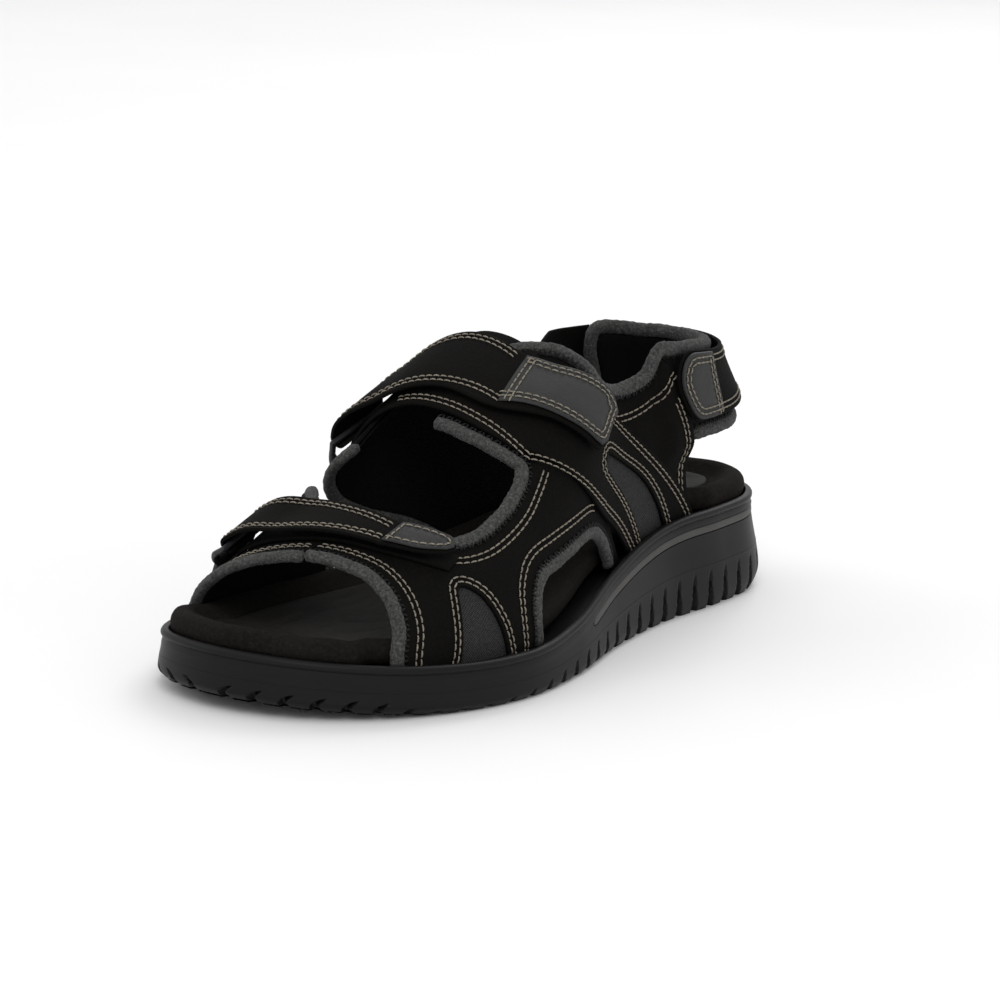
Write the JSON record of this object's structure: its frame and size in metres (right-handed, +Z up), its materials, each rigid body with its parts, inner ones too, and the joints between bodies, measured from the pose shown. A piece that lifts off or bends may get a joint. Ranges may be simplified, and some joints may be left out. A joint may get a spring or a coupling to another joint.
{
  "type": "strappy sport sandal",
  "caption": "Open walking sandal, left foot: leather upper with textile windows, padded heel band, hook-and-loop straps through plastic rings, cushioned footbed and lugged sole.",
  "frame": {"origin": "on the ground under the middle of the bounding box", "axes": "+Z up; toe towards -Y, heel towards +Y; outer (little-toe) side towards +X"},
  "size_m": [0.1162, 0.29, 0.1086],
  "materials": {
    "outsole_rubber": "satin moulded rubber, charcoal",
    "midsole_foam": "satin moulded foam, charcoal",
    "side_stripe": "matt warm grey inlay",
    "footbed_foam": "matt foam",
    "footbed_suede": "suede, brown-black",
    "sock_suede": "smoother pressed suede with embossed lines",
    "nubuck": "nubuck, brown-black, fine grain",
    "lining_textile": "black textile",
    "fin_textile": "grey ribbed textile",
    "heel_textile": "black padded textile",
    "binding": "grey melange tape",
    "ring_plastic": "satin dark grey",
    "ring_plate": "satin grey, raised",
    "loop_pile": "black loop pile",
    "hook_tape": "black hook tape",
    "tab_leather": "smooth grey leather"
  },
  "bodies": {
    "sandal": {"outsole": "outsole_rubber", "midsole": "midsole_foam", "side_stripe": "side_stripe", "footbed_foam": "footbed_foam", "footbed_cover": "footbed_suede", "sock_panel": "sock_suede", "lateral_vamp": "nubuck", "lateral_vamp_lining": "lining_textile", "front_fin_insert": "fin_textile", "lateral_instep_band": "nubuck", "rear_fin_insert": "fin_textile", "lateral_heel_quarter": "nubuck", "lateral_quarter_lining": "lining_textile", "medial_vamp": "nubuck", "medial_vamp_lining": "lining_textile", "medial_quarter": "nubuck", "medial_quarter_lining": "lining_textile", "medial_fin_insert": "fin_textile", "heel_band": "heel_textile", "toe_binding_lateral": "binding", "toe_binding_medial": "binding", "arch_binding_lateral": "binding", "instep_binding_lateral": "binding", "instep_binding_medial": "binding", "quarter_binding_medial": "binding", "collar_binding": "binding", "medial_collar_binding": "binding", "toe_ring": "ring_plastic", "toe_ring_plate": "ring_plate", "toe_loop_patch": "loop_pile", "toe_strap_base": "nubuck", "instep_ring": "ring_plastic", "instep_ring_plate": "ring_plate", "instep_loop_patch": "loop_pile", "heel_loop_patch": "loop_pile", "heel_strap_root": "nubuck"},
    "toe_flap": {"toe_strap": "nubuck", "toe_hook_patch": "hook_tape", "toe_tab": "tab_leather"},
    "instep_flap": {"instep_strap": "nubuck", "instep_hook_patch": "hook_tape", "instep_tab": "tab_leather"},
    "heel_flap": {"heel_strap": "nubuck", "heel_tab": "tab_leather", "heel_hook_patch": "hook_tape"}
  },
  "joints": [
    {"name": "toe_strap_open", "type": "hinge", "parent": "sandal", "child": "toe_flap", "pos_m": [-0.03771, -0.09113, 0.0466], "axis": [-0.0074, -0.9374, -0.3482], "range_deg": [0, 120]},
    {"name": "instep_strap_open", "type": "hinge", "parent": "sandal", "child": "instep_flap", "pos_m": [-0.04555, -0.0202, 0.07149], "axis": [-0.105, -0.917, -0.3848], "range_deg": [0, 120]},
    {"name": "heel_strap_open", "type": "hinge", "parent": "sandal", "child": "heel_flap", "pos_m": [-0.03183, 0.10073, 0.08282], "axis": [0.1021, -0.4199, 0.9018], "range_deg": [0, 100]}
  ]
}
